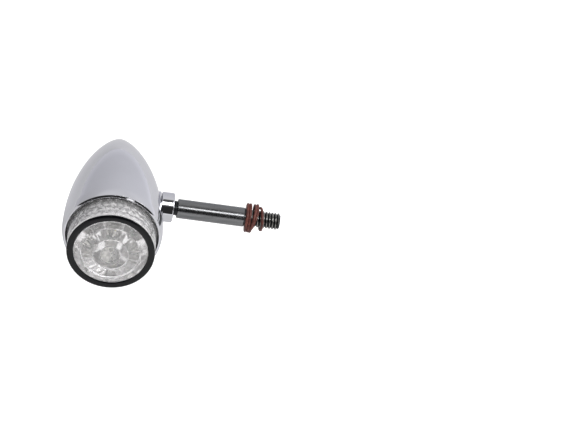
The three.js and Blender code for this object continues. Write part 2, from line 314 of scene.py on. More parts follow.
def placed(name, data):
    """A new object in the scene."""
    made = bpy.data.objects.new(name, data)
    bpy.context.scene.collection.objects.link(made)
    return made


def mesh_of(name, shape):
    """A closed, outward-facing mesh in metres from (vertices, faces) in millimetres."""
    vertices, faces = shape
    mesh = bpy.data.meshes.new(name)
    mesh.from_pydata([Vector(v) * MM for v in vertices], [], faces)
    work = bmesh.new()
    work.from_mesh(mesh)
    bmesh.ops.remove_doubles(work, verts=work.verts, dist=1e-7)
    bmesh.ops.dissolve_degenerate(work, edges=work.edges, dist=1e-8)
    open_edges = [e for e in work.edges if e.is_boundary]
    if open_edges:
        bmesh.ops.holes_fill(work, edges=open_edges)
    bmesh.ops.recalc_face_normals(work, faces=work.faces)
    work.to_mesh(mesh)
    work.free()
    return mesh


def combined(name, base, *steps):
    """The mesh left after shapes are joined to or cut from a base shape, in order."""
    body = placed(name, mesh_of(name, base))
    tools = []
    for operation, shape in steps:
        tool = placed("tool", mesh_of("tool", shape))
        modifier = body.modifiers.new(operation, "BOOLEAN")
        modifier.operation = operation
        modifier.solver = "EXACT"
        modifier.object = tool
        tools.append(tool)
    depsgraph = bpy.context.evaluated_depsgraph_get()
    mesh = bpy.data.meshes.new_from_object(body.evaluated_get(depsgraph))
    for used in (body, *tools):
        bpy.data.objects.remove(used)
    return mesh


def piece(name, shape, body, materials, replaces=(), crease=32):
    """A shaded piece that rides on a body and stands for CAD nodes."""
    mesh = shape if isinstance(shape, bpy.types.Mesh) else mesh_of(name, shape)
    mesh.name = name
    mesh.materials.clear()
    for material in materials:
        mesh.materials.append(material)
    mesh.shade_smooth()
    mesh.set_sharp_from_angle(angle=math.radians(crease))
    made = placed(name, mesh)
    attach(made, body)
    if replaces:
        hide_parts(*replaces)
    return made


# ---------------------------------------------------------------- node building
class Nodes:
    """Adds nodes to a tree. Values given for sockets may be numbers, colours or other outputs."""

    def __init__(self, tree):
        self.tree = tree

    def add(self, kind, inputs=None, **settings):
        node = self.tree.nodes.new(kind)
        for name, value in settings.items():
            setattr(node, name, value)
        self.fill(node, inputs or {})
        return node

    def fill(self, node, inputs):
        for socket, value in inputs.items():
            if isinstance(value, bpy.types.NodeSocket):
                self.tree.links.new(value, node.inputs[socket])
            else:
                node.inputs[socket].default_value = value

    def math(self, operation, a, b=0.0):
        return self.add("ShaderNodeMath", {0: a, 1: b}, operation=operation).outputs[0]

    def remap(self, value, low, high, to_low, to_high):
        return self.add("ShaderNodeMapRange", {
            "Value": value, "From Min": low, "From Max": high, "To Min": to_low, "To Max": to_high,
        }).outputs["Result"]

    def spread(self, fac, to_low, to_high):
        """The part of a noise's range that it mostly fills, mapped onto two values."""
        return self.remap(fac, 0.3, 0.7, to_low, to_high)

    def window(self, *edges):
        """1 inside and 0 outside a set of soft edges, each given as (value, outside, inside)."""
        mask = 1.0
        for value, outside, inside in edges:
            mask = self.math("MULTIPLY", mask, self.remap(value, outside, inside, 0, 1))
        return mask

    def length(self, a, b):
        """The length of a flat vector from its two parts."""
        square = self.math("ADD", self.math("POWER", a, 2.0), self.math("POWER", b, 2.0))
        return self.math("SQRT", square)

    def ramp(self, value, stops, interpolation="LINEAR"):
        node = self.add("ShaderNodeValToRGB", {"Fac": value})
        node.color_ramp.interpolation = interpolation
        elements = node.color_ramp.elements
        while len(elements) < len(stops):
            elements.new(0.5)
        for element, (position, colour) in zip(elements, stops):
            element.position = position
            element.color = (*colour, 1) if isinstance(colour, tuple) else (colour,) * 3 + (1,)
        return node.outputs["Color"]

    def mix(self, factor, a, b):
        node = self.add("ShaderNodeMix", data_type="RGBA")
        self.fill(node, {0: factor, 6: a, 7: b})
        return node.outputs[2]

    def position(self, stretch=(1, 1, 1)):
        """The point in the row frame, in metres, times a stretch."""
        here = self.add("ShaderNodeTexCoord").outputs["Object"]
        stretched = self.add("ShaderNodeVectorMath", {0: here, 1: stretch}, operation="MULTIPLY")
        return stretched.outputs[0]

    def split(self, vector):
        return self.add("ShaderNodeSeparateXYZ", {0: vector}).outputs

    def noise(self, vector, scale, detail=2.0):
        return self.add("ShaderNodeTexNoise", {
            "Vector": vector, "Scale": scale, "Detail": detail,
        }).outputs["Fac"]

    def bump(self, height, strength, distance):
        return self.add("ShaderNodeBump", {
            "Height": height, "Strength": strength, "Distance": distance,
        }).outputs["Normal"]


class Finish(Nodes):
    """A material with one Principled shader."""

    def __init__(self, name, values):
        self.material = bpy.data.materials.new(name)
        self.material.use_nodes = True
        super().__init__(self.material.node_tree)
        self.shader = self.tree.nodes["Principled BSDF"]
        self.fill(self.shader, values)

    def set(self, **links):
        names = {"color": "Base Color", "roughness": "Roughness", "normal": "Normal"}
        self.fill(self.shader, {names[key]: value for key, value in links.items()})
        return self.material


def grey(value):
    return (value, value, value, 1)


# ---------------------------------------------------------------- camera
AZIMUTH = -6.06
ELEVATION = 34.53
ROLL = 11.0
DISTANCE = 1.5
LENS_LENGTH = 199.34
ORIGIN_ACROSS = -0.0213     # where the stem's shoulder lies beside the view's axis, in metres
ORIGIN_UP = 0.0001


def make_camera():
    azimuth, elevation = math.radians(AZIMUTH), math.radians(ELEVATION)
    back = Vector((
        math.sin(azimuth) * math.cos(elevation),
        -math.cos(azimuth) * math.cos(elevation),
        math.sin(elevation),
    ))
    level = back.to_track_quat("Z", "Y").to_matrix()
    turned = level @ Matrix.Rotation(math.radians(ROLL), 3, "Z")
    camera = placed("camera", bpy.data.cameras.new("camera"))
    camera.location = turned @ Vector((-ORIGIN_ACROSS, -ORIGIN_UP, DISTANCE))
    camera.rotation_euler = turned.to_euler()
    camera.data.sensor_width = 36.0
    camera.data.lens = LENS_LENGTH
    camera.data.clip_end = 50.0
    bpy.context.scene.camera = camera


# ---------------------------------------------------------------- studio
TENT_STRENGTH = 8.0             # brightness levels are stored as shares of it
SIDE_BOX = (0.68, -0.39, 0.62)  # direction of the soft box beside the camera
LAMP = (0.28, -0.905, 0.31)     # direction of the small lamp in front


def make_world():
    """A light tent, pale all round but dark in front, from eye level up to a wide soft box.

    A black flag hangs above the left part of that box. There are also a round box to the right
    and a small lamp in front. The camera itself sees plain white.
    """
    world = bpy.data.worlds.new("studio")
    bpy.context.scene.world = world
    world.use_nodes = True
    nodes = Nodes(world.node_tree)
    direction = nodes.add("ShaderNodeTexCoord").outputs["Generated"]
    parts = nodes.split(direction)
    # Height runs from 0 straight down to 1 straight up.
    height = nodes.math("DIVIDE", nodes.math("ARCSINE", parts["Z"]), math.pi)
    height = nodes.math("ADD", height, 0.5)
    flat = nodes.math("SUBTRACT", 1.0001, nodes.math("POWER", parts["Z"], 2.0))
    flat = nodes.math("SQRT", flat)
    facing = nodes.math("DIVIDE", nodes.math("MULTIPLY", parts["Y"], -1.0), flat)
    beside = nodes.math("MULTIPLY", nodes.math("ABSOLUTE", parts["X"]), 0.35)
    front_share = nodes.add("ShaderNodeMapRange", {
        "Value": nodes.math("ADD", facing, beside), "From Min": 0.80, "From Max": 0.92,
    }, interpolation_type="SMOOTHSTEP").outputs["Result"]

    def at(degrees):
        return degrees / 180 + 0.5

    def levels(*stops):
        """Brightness against elevation in degrees."""
        return nodes.ramp(height, [(at(degrees), level / TENT_STRENGTH) for degrees, level in stops])

    back = levels((-4, 0.95), (1, 0.92), (8, 0.79), (20, 0.78), (35, 0.81), (60, 0.9), (85, 0.8))
    front = levels((-12, 0.8), (-5, 0.03), (39, 0.035), (43, 0.4), (46, 0.85), (85, 0.8))
    level = nodes.mix(front_share, back, front)
    flag = nodes.window(
        (parts["Y"], 0.0, -0.08), (height, at(43), at(45)), (height, at(84), at(80)),
        (parts["X"], 0.22, 0.17), (parts["X"], -0.1, -0.05),
    )
    level = nodes.mix(flag, level, grey(0.13 / TENT_STRENGTH))

    # Low behind the object the tent brightens to the right. All of its back is faintly blue.
    sideways = nodes.mix(nodes.remap(parts["X"], -0.7, 0.7, 0, 1), grey(0.78), grey(1.22))
    low_back = nodes.window((parts["Y"], 0.2, 0.5), (parts["Z"], 0.75, 0.6))
    slope = nodes.mix(low_back, grey(1.0), sideways)
    bluish = nodes.remap(parts["Y"], 0.2, 0.9, 0, 1)
    tint = nodes.mix(bluish, grey(1), (0.97, 0.975, 1.02, 1))
    for factor in (slope, tint):
        product = nodes.add("ShaderNodeMix", data_type="RGBA", blend_type="MULTIPLY")
        nodes.fill(product, {0: 1.0, 6: level, 7: factor})
        level = product.outputs[2]

    def cone(place, outer, inner):
        """1 within a cone about a direction, given as cosines of its soft edge."""
        near = nodes.add("ShaderNodeVectorMath", {
            0: direction, 1: Vector(place).normalized(),
        }, operation="DOT_PRODUCT").outputs["Value"]
        return nodes.remap(near, outer, inner, 0, 1)

    side_box = cone(SIDE_BOX, 0.965, 0.975)
    lamp = cone(LAMP, 0.9955, 0.9978)
    sideward = nodes.math("DIVIDE", parts["X"], flat)
    front_box = nodes.window(
        (facing, 0, 0.1), (height, at(45.5), at(47.5)), (height, at(58.5), at(56.5)),
        (sideward, -0.22, -0.08), (sideward, 0.85, 0.75),
    )
    boxes = nodes.math("MAXIMUM", side_box, front_box)
    level = nodes.mix(lamp, level, grey(1.5 / TENT_STRENGTH))
    level = nodes.mix(boxes, level, grey(1.0))
    seen = nodes.add("ShaderNodeLightPath").outputs["Is Camera Ray"]
    tent = nodes.add("ShaderNodeBackground", {"Color": level, "Strength": TENT_STRENGTH})
    plain = nodes.add("ShaderNodeBackground", {"Color": grey(1.0), "Strength": 1.02})
    mixed = nodes.add("ShaderNodeMixShader", {0: seen, 1: tent.outputs[0], 2: plain.outputs[0]})
    nodes.fill(world.node_tree.nodes["World Output"], {"Surface": mixed.outputs[0]})


FLOOR_CLEARANCE = 0.5
FLOOR_R = 6000


def make_floor():
    """A pale floor that glows with painted light, just below the reach of the head as it swivels on the
    stem.
    """
    finish = Finish("floor_paper", {"Roughness": 0.9, "Emission Color": grey(1)})
    seen = finish.add("ShaderNodeLightPath").outputs["Is Camera Ray"]
    place = finish.split(finish.position())
    # The floor's glow is painted light that lifts its shadows: even for the camera, and for other rays
    # faint and brighter towards +X.
    glow = finish.remap(place["X"], -0.25, 0.05, 0.04, 0.22)
    # A brighter patch of painted light glows on it in front of the lens.
    off_lamp = finish.math("ABSOLUTE", finish.math("SUBTRACT", place["X"], LAMP_X * MM))
    painted_light_patch = finish.window(
        (off_lamp, 0.11, 0.08), (place["Y"], -0.07, -0.09), (place["Y"], -0.25, -0.22),
    )
    glow = finish.math("ADD", glow, finish.math("MULTIPLY", painted_light_patch, 0.3))
    finish.fill(finish.shader, {"Emission Strength": finish.remap(seen, 0, 1, glow, 0.7)})
    tone = finish.noise(finish.position(), 3.0)
    finish.set(color=finish.mix(tone, grey(0.60), grey(0.63)))
    low = -max(TIP_Y, -LENS_CROWN_Y) - FLOOR_CLEARANCE
    shape = spin([(0, low), (FLOOR_R, low)], Matrix.Translation((LAMP_X, 0, 0)), 64)
    mesh = bpy.data.meshes.new("floor")
    mesh.from_pydata([v * MM for v in shape[0]], [], shape[1])
    mesh.materials.append(finish.material)
    placed("floor", mesh)


# ---------------------------------------------------------------- materials
def chrome(name, light, dark):
    """Polished plate with faint haze and orange peel."""
    finish = Finish(name, {"Metallic": 1.0, "Specular Tint": (0.8, 0.8, 0.82, 1)})
    here = finish.position()
    haze = finish.noise(here, 60, 3)
    smudge = finish.noise(here, 260, 4)
    return finish.set(
        color=finish.mix(haze, dark, light),
        roughness=finish.spread(smudge, 0.035, 0.075),
        normal=finish.bump(finish.noise(here, 420, 1), 0.03, 0.00002),
    )


def grained(name, values, grain, dark, light, rough, bump, relief=None):
    """A material whose colour and roughness follow one noise, and its bump that or another.

    grain and relief each hold a noise's scale and detail, rough two roughnesses, and bump a
    strength and a distance.
    """
    finish = Finish(name, values)
    here = finish.position()
    tone = finish.noise(here, *grain)
    return finish.set(
        color=finish.mix(tone, dark, light),
        roughness=finish.spread(tone, *rough),
        normal=finish.bump(finish.noise(here, *relief) if relief else tone, *bump),
    )


def bare_casting_painted_shade():
    """Unplated alloy inside the mouth, painted near black as shade in the gap behind the rim."""
    return grained(
        "bare_casting_painted_shade", {"Metallic": 0.6}, (1300, 3), (0.012, 0.012, 0.013, 1),
        (0.035, 0.035, 0.037, 1), (0.5, 0.7), (0.25, 0.00003),
    )


def gloss_black():
    """Black moulding with a little dust on it."""
    return grained(
        "gloss_black", {"IOR": 1.32}, (700, 4), (0.001, 0.0012, 0.0017, 1),
        (0.003, 0.0034, 0.0045, 1), (0.06, 0.14), (0.05, 0.00002), (500, 2),
    )


def rubber():
    return grained(
        "rubber", {"Specular IOR Level": 0.4}, (2200, 3), (0.012, 0.012, 0.013, 1),
        (0.03, 0.03, 0.031, 1), (0.5, 0.75), (0.3, 0.00003),
    )


def silvered(name, dark, light):
    """Vacuum-metallised plastic, a little uneven."""
    return grained(
        name, {"Metallic": 1.0}, (220, 3), dark, light, (0.20, 0.34), (0.08, 0.00003), (900, 2),
    )


def plated(name, dark, light):
    """Dull plated metal for screws, wires and frames."""
    return grained(
        name, {"Metallic": 1.0}, (1500, 3), dark, light, (0.22, 0.4), (0.1, 0.00002),
    )


def turned_steel():
    """Bright steel with the fine grooves that a lathe leaves."""
    finish = Finish("turned_steel", {"Metallic": 1.0})
    grooves = finish.noise(finish.position((1, 0.02, 0.02)), 5200, 3)
    stain = finish.noise(finish.position((0.08, 1, 1)), 1700, 3)
    return finish.set(
        color=finish.mix(stain, (0.11, 0.113, 0.118, 1), (0.24, 0.242, 0.246, 1)),
        roughness=finish.spread(grooves, 0.17, 0.27),
        normal=finish.bump(grooves, 0.25, 0.00001),
    )


def dark_thread():
    """Blackened thread, lighter along its crests, partly as rubbed wear and partly as a painted
    highlight; its dark roots are partly painted shade.
    """
    finish = Finish("dark_thread", {"Metallic": 1.0})
    here = finish.position()
    parts = finish.split(here)
    radius = finish.length(parts["Y"], parts["Z"])
    wear = finish.noise(here, 900, 3)
    # Crests painted light, partly rubbed wear and partly painted highlight; the roots stay dark, partly
    # painted shade.
    crest = finish.remap(radius, (THREAD_R - 0.25) * MM, THREAD_R * MM, 0, 1)
    rubbed_and_highlit = finish.math("MULTIPLY", crest, wear)
    return finish.set(
        color=finish.mix(rubbed_and_highlit, (0.035, 0.037, 0.039, 1), (0.46, 0.45, 0.43, 1)),
        roughness=finish.spread(wear, 0.22, 0.42),
        normal=finish.bump(finish.noise(here, 2600, 2), 0.25, 0.00003),
    )


def clear_plastic(name, tint, clearness, index, low, high):
    """Clear polished plastic that lets lamps shine through."""
    finish = Finish(name, {"Base Color": tint, "Transmission Weight": clearness, "IOR": index})
    here = finish.position()
    shine = finish.spread(finish.noise(here, 500, 3), low, high)
    finish.set(roughness=shine, normal=finish.bump(finish.noise(here, 300, 1), 0.04, 0.00002))
    through = finish.add("ShaderNodeBsdfTransparent", {"Color": tint}).outputs[0]
    shadow = finish.add("ShaderNodeLightPath").outputs["Is Shadow Ray"]
    mixed = finish.add("ShaderNodeMixShader", {0: shadow, 1: finish.shader.outputs[0], 2: through})
    output = finish.tree.nodes["Material Output"]
    finish.fill(output, {"Surface": mixed.outputs[0]})
    return finish.material


def insulation():
    """Reddish-brown wire covering, scuffed and slightly glossy."""
    finish = Finish("lead_insulation", {"IOR": 1.48})
    here = finish.position()
    scuff = finish.noise(here, 520, 4)
    return finish.set(
        color=finish.ramp(scuff, [
            (0.30, (0.035, 0.007, 0.005)), (0.50, (0.095, 0.020, 0.013)),
            (0.72, (0.17, 0.045, 0.028)),
        ]),
        roughness=finish.spread(scuff, 0.42, 0.62),
        normal=finish.bump(finish.noise(here, 2400, 3), 0.3, 0.00004),
    )


TRACK_SPACING = 1.3


def board_mask():
    """Green solder mask over copper tracks that run round the board."""
    finish = Finish("board_mask", {"IOR": 1.5})
    here = finish.position()
    parts = finish.split(here)
    across = finish.math("SUBTRACT", parts["X"], LAMP_X * MM)
    radius = finish.length(across, parts["Z"])
    track = finish.math("PINGPONG", radius, TRACK_SPACING * MM)
    line = finish.remap(track, 0.35 * MM, 0.45 * MM, 1, 0)
    grain = finish.noise(here, 900, 3)
    mask = finish.mix(grain, (0.012, 0.07, 0.025, 1), (0.02, 0.10, 0.04, 1))
    return finish.set(
        color=finish.mix(line, mask, (0.05, 0.19, 0.06, 1)),
        roughness=finish.spread(grain, 0.28, 0.45),
        normal=finish.bump(line, 0.4, 0.00004),
    )


def resistor_coat():
    """Tan lacquer with colour bands across it."""
    low, high = corners("resistor_1")
    finish = Finish("resistor_coat", {"IOR": 1.5})
    here = finish.position()
    share = finish.remap(finish.split(here)["X"], low.x * MM, high.x * MM, 0, 1)
    tan, brown, black = (0.55, 0.38, 0.19), (0.12, 0.04, 0.015), (0.01, 0.01, 0.01)
    orange, gold = (0.75, 0.20, 0.02), (0.45, 0.30, 0.08)
    bands = finish.ramp(share, [
        (0.0, tan), (0.12, brown), (0.20, tan), (0.34, black), (0.42, tan), (0.50, orange),
        (0.58, tan), (0.80, gold), (0.88, tan),
    ], "CONSTANT")
    grain = finish.noise(here, 1400, 2)
    return finish.set(
        color=finish.mix(finish.spread(grain, 0, 0.25), bands, (0.3, 0.2, 0.1, 1)),
        roughness=finish.spread(grain, 0.3, 0.5),
    )


def led_chip():
    """The yellow phosphor on the chip."""
    finish = Finish("led_chip", {"IOR": 1.5})
    grain = finish.noise(finish.position(), 6000, 2)
    return finish.set(
        color=finish.mix(grain, (0.82, 0.70, 0.36, 1), (0.95, 0.86, 0.52, 1)),
        roughness=finish.spread(grain, 0.4, 0.6),
    )


# ---------------------------------------------------------------- cords
# Each lead is wound round the outer thread. A key holds the turn counted from the port, the
# place along the stem and the radius there. Turns run from the back, below and up in front.
INNER_LEAD_KEYS = [
    (0.10, 1.30, 5.10), (0.25, 1.05, 5.05), (0.50, 0.95, 5.05), (1.00, 0.95, 5.05),
    (1.20, 2.20, 5.05), (2.00, 2.20, 5.10), (2.20, 3.40, 5.10), (2.40, 3.80, 5.15),
    (2.50, 4.30, 5.15), (2.60, 5.10, 5.15), (2.67, 5.60, 5.30), (2.75, 5.40, 5.60),
    (2.85, 5.50, 6.35), (2.95, 6.10, 6.40), (3.05, 6.90, 6.10), (3.25, 7.90, 5.20),
    (3.40, 8.40, 4.85), (3.50, 8.35, 4.80), (3.60, 8.15, 4.80), (3.70, 7.75, 4.90),
    (3.88, 6.95, 5.25),
]
OUTER_LEAD_KEYS = [
    (0.10, 1.30, 6.20), (0.25, 1.05, 6.30), (0.50, 0.95, 6.30), (1.00, 0.95, 6.30),
    (1.20, 2.20, 6.30), (2.00, 2.20, 6.35), (2.20, 2.80, 6.35), (2.40, 3.20, 6.35),
    (2.50, 3.50, 6.40), (2.60, 4.10, 6.40), (2.67, 4.50, 6.40), (2.75, 4.45, 6.40),
    (2.85, 4.25, 6.20), (3.00, 4.30, 5.90), (3.15, 4.60, 5.70),
]
POINTS_PER_TURN = 48


def wound(exit_point, keys):
    """The centreline of a wound lead, in millimetres, from its exit through its keys."""
    path = [Vector(exit_point)]
    first, last = keys[0][0], keys[-1][0]
    count = math.ceil((last - first) * POINTS_PER_TURN)
    for i in range(count + 1):
        turn = first + (last - first) * i / count
        for (a, xa, ra), (b, xb, rb) in zip(keys, keys[1:]):
            if a <= turn <= b + 1e-9:
                share = (turn - a) / (b - a)
                share = share * share * (3 - 2 * share)
                y, z = polar(ra + (rb - ra) * share, -360 * turn)
                path.append(Vector((xa + (xb - xa) * share, y, z)))
                break
    return path


def make_cord(name, exit_point, keys, node, finish):
    path = smooth_path(wound(exit_point, keys), 0.5)
    lead = piece(name, tube(path, LEAD_R), STEM_BODY, [finish], [node], crease=60)


# ---------------------------------------------------------------- housing
def ogive(y, widest, tip):
    t = (y - WIDEST_Y) / (tip - WIDEST_Y)
    return widest * max(0.0, 1 - t * t) ** OGIVE_POWER


def ogive_points(start, widest, tip, count):
    points = []
    for i in range(count):
        y = tip - (tip - start) * (1 - i / count) ** 1.7
        points.append((ogive(y, widest, tip), y))
    return [*points, (0, tip)]


def make_housing(plating, mouth_shade_casting):
    lip = []
    for i in range(13):
        u = 1 - i / 13
        lip.append((BEVEL_R + (HOUSING_R - BEVEL_R) * (1 - u * u), WIDEST_Y + u * (BEVEL_Y - WIDEST_Y)))
    outside = ogive_points(WIDEST_Y, HOUSING_R, TIP_Y, 60)
    inside = ogive_points(SEAT_Y, CAVITY_R, CAVITY_END_Y, 30)
    rim = filleted([
        (MOUTH_R, SEAT_Y), (MOUTH_R, MOUTH_Y, 0.12), (RIM_R, MOUTH_Y, 0.1), (*lip[0], 0.1), lip[1],
    ])[1:-1]
    profile = [*reversed(inside), (MOUTH_R, SEAT_Y), *rim, *lip[1:], *outside]
    pad = filleted([(0, PAD_X - 4), (PAD_R, PAD_X - 4), (PAD_R, PAD_X, 0.2), (0, PAD_X)])
    boss = [(0, BOSS_IN_X), (BOSS_R, BOSS_IN_X), (BOSS_R, PAD_X - 2), (0, PAD_X - 2)]
    spot_face = [(0, PAD_X), (PAD_R + 1, PAD_X), (PAD_R + 1, PAD_X + 5), (0, PAD_X + 5)]
    hole_r = THREAD_R + 0.3
    hole = [
        (0, BOSS_IN_X - 1), (hole_r, BOSS_IN_X - 1), (hole_r, PAD_X - 0.5),
        (hole_r + 1, PAD_X + 0.5), (0, PAD_X + 0.5),
    ]
    screw_place = Matrix.Translation((LAMP_X, SET_SCREW_Y, 0))
    screw_hole = prism(32, SET_SCREW_R + 0.1, -HOUSING_R - 2, -HOUSING_R + 4, screw_place)
    mesh = combined(
        "housing", spin(profile, on_lamp(), 192),
        ("UNION", spin(pad, ALONG_X, 96)),
        ("UNION", spin(boss, ALONG_X, 96)),
        ("DIFFERENCE", spin(spot_face, ALONG_X, 96)),
        ("DIFFERENCE", spin(hole, ALONG_X, 96)),
        ("DIFFERENCE", screw_hole),
    )
    piece("bullet_shell", mesh, HEAD, [plating, mouth_shade_casting], ["housing"])
    # The mouth's inner wall takes the near-black casting finish, painted shade in the gap behind the
    # rim.
    for face in mesh.polygons:
        x, y, z = face.center / MM
        if math.hypot(x - LAMP_X, z) < MOUTH_R + 0.05 and MOUTH_Y + 0.25 < y < SEAT_Y + 0.1:
            face.material_index = 1


# ---------------------------------------------------------------- lens, ring and seal
def dome(radius, edge_r, edge_y, crown_y):
    return crown_y + (edge_y - crown_y) * (radius / edge_r) ** 2


def make_lens(material):
    inner_r = LENS_SKIRT_R - LENS_WALL
    inner_edge_y = LENS_SHOULDER_Y + LENS_WALL - 0.4
    inner_face_r = LENS_SPIGOT_R - 1.0

    def inner_y(radius):
        return dome(radius, inner_face_r, LENS_EDGE_Y + LENS_WALL, LENS_CROWN_Y + LENS_WALL)

    # The face sinks below the dome towards each step's outer edge, then a wall rises. A groove
    # runs along that edge.
    def outer_y(radius):
        drop = 0
        for inner_edge, outer_edge, depth in LENS_STEPS:
            if inner_edge < radius <= outer_edge:
                drop = depth * ((radius - inner_edge) / (outer_edge - inner_edge)) ** 2
            drop += LENS_GROOVE_DEPTH * max(0, 1 - abs(radius - outer_edge) / LENS_GROOVE_HALF)
        return dome(radius, LENS_SPIGOT_R, LENS_EDGE_Y, LENS_CROWN_Y) + drop

    stops = {LENS_SPIGOT_R * i / 24 for i in range(24)}
    for _, outer_edge, _ in LENS_STEPS:
        stops |= {outer_edge + k for k in (-0.3, -0.08, 0, 0.08, 0.3)}
    outer = [(r, outer_y(r)) for r in sorted(stops)]
    seal_half = SEAL_SECTION_R + 0.15
    seal_floor = SEAL_R - seal_half
    screw_half = SET_SCREW_R + 0.2
    side = filleted([
        outer[-1], (LENS_SPIGOT_R, LENS_EDGE_Y, 0.3), (LENS_SPIGOT_R, LENS_SHOULDER_Y),
        (LENS_FRONT_R, LENS_SHOULDER_Y, 0.4), (LENS_NECK_R, MOUTH_Y - 0.6),
        (LENS_NECK_R, MOUTH_Y + 1.2), (LENS_SKIRT_R, MOUTH_Y + 1.5),
        (LENS_SKIRT_R, SEAL_Y - seal_half), (seal_floor, SEAL_Y - seal_half),
        (seal_floor, SEAL_Y + seal_half), (LENS_SKIRT_R, SEAL_Y + seal_half),
        (LENS_SKIRT_R, SET_SCREW_Y - screw_half), (SCREW_GROOVE_R, SET_SCREW_Y - screw_half),
        (SCREW_GROOVE_R, SET_SCREW_Y + screw_half), (LENS_SKIRT_R, SET_SCREW_Y + screw_half),
        (LENS_SKIRT_R, LENS_BACK_Y, 0.2), (inner_r, LENS_BACK_Y, 0.2), (inner_r, REFLECTOR_BACK_Y),
    ])[1:]
    wall_steps = 24
    wall = [(inner_r, REFLECTOR_BACK_Y + (inner_edge_y + 1.2 - REFLECTOR_BACK_Y) * i / wall_steps)
            for i in range(1, wall_steps)]
    turn_in = filleted([
        wall[-1], (inner_r, inner_edge_y, 1.2), (inner_face_r, inner_y(inner_face_r)),
    ])[1:]
    # The inner face steps down near its rim, and is cast with small ripples that scatter the light.
    step_r, step_depth = LENS_INNER_STEP_R, LENS_INNER_STEP
    inner = [(step_r + 0.3, inner_y(step_r + 0.3)), (step_r, inner_y(step_r) + step_depth)]
    inner += [(r, inner_y(r) + step_depth) for r in (step_r * (1 - i / 28) for i in range(1, 28))]
    inner.append((0, inner_y(0) + step_depth))

    def rippled(radius, along, turn):
        if along < outer_y(radius) + 1.0 or radius > inner_r + 0.01 or along > REFLECTOR_BACK_Y + 0.1:
            return radius, along
        across, up = polar(radius, 360 * turn)
        ripple = RIPPLE_HEIGHT * noise.noise(Vector((across, up, along)) / RIPPLE_SIZE)
        if radius > inner_r - 0.01:
            return radius + ripple, along
        fluted = max(0, 1 - ((radius - 12) / 3.6) ** 2)
        flute = FLUTE_DEPTH * fluted * math.cos(2 * math.pi * FLUTE_COUNT * turn)
        return radius, along + FACE_RIPPLE_SHARE * ripple + flute

    profile = [*outer, *side, *wall, *turn_in, *inner]
    piece(
        "lens_cup", spin(profile, on_lamp(), 240, relief=rippled), HEAD, [material],
        ["lens"], crease=25,
    )


def make_trim_ring(material):
    back = ring_high.y
    front = ring_low.y
    # Its face is slightly crowned.
    half = (RING_OUTER_R - RING_BEVEL - RING_INNER_R) / 2
    tilt = math.radians(RING_TILT)
    face = []
    for i in range(9):
        angle = tilt * (i / 4 - 1)
        rise = half / math.sin(tilt) * (1 - math.cos(angle))
        face.append((RING_INNER_R + half * (1 + math.sin(angle) / math.sin(tilt)), front + rise))
    profile = filleted([
        (RING_INNER_R, back, 0.1), (*face[0], 0.12), *face[1:-1], (*face[-1], 0.1),
        (RING_OUTER_R, front + RING_BEVEL, 0.1), (RING_OUTER_R, back),
    ], 6)
    piece(
        "trim_ring_black", spin(profile, on_lamp(), 192, closed=True), HEAD, [material],
        ["trim_ring"], crease=50,
    )


def make_seal(material):
    profile = []
    for i in range(20):
        across, along = polar(SEAL_SECTION_R, 18 * i)
        profile.append((SEAL_R + across, SEAL_Y + along))
    piece(
        "seal_ring", spin(profile, on_lamp(), 160, closed=True), HEAD, [material],
        ["lens_seal"],
    )


# ---------------------------------------------------------------- light unit
led_places = [(0.0, 0.0)]
led_places += [polar(LED_PITCH_R, 90 + 360 * i / LED_COUNT_AROUND) for i in range(LED_COUNT_AROUND)]
screw_places = [polar(BOARD_SCREW_PLACE_R, degrees) for degrees in (60, 240)]


def pillows(count_around, low, high, count_along, depth):
    """Relief of rows of rounded bubbles between two heights, every other row shifted."""

    def relief(radius, along, turn):
        share = (along - low) / (high - low) * count_along
        if not 0 <= share <= count_along:
            return radius, along
        shift = 0.5 * (int(share) % 2)
        around = abs(math.sin(math.pi * (turn * count_around + shift)))
        up = abs(math.sin(math.pi * share))
        return radius - depth * (1 - (around * up) ** 0.6), along

    return relief


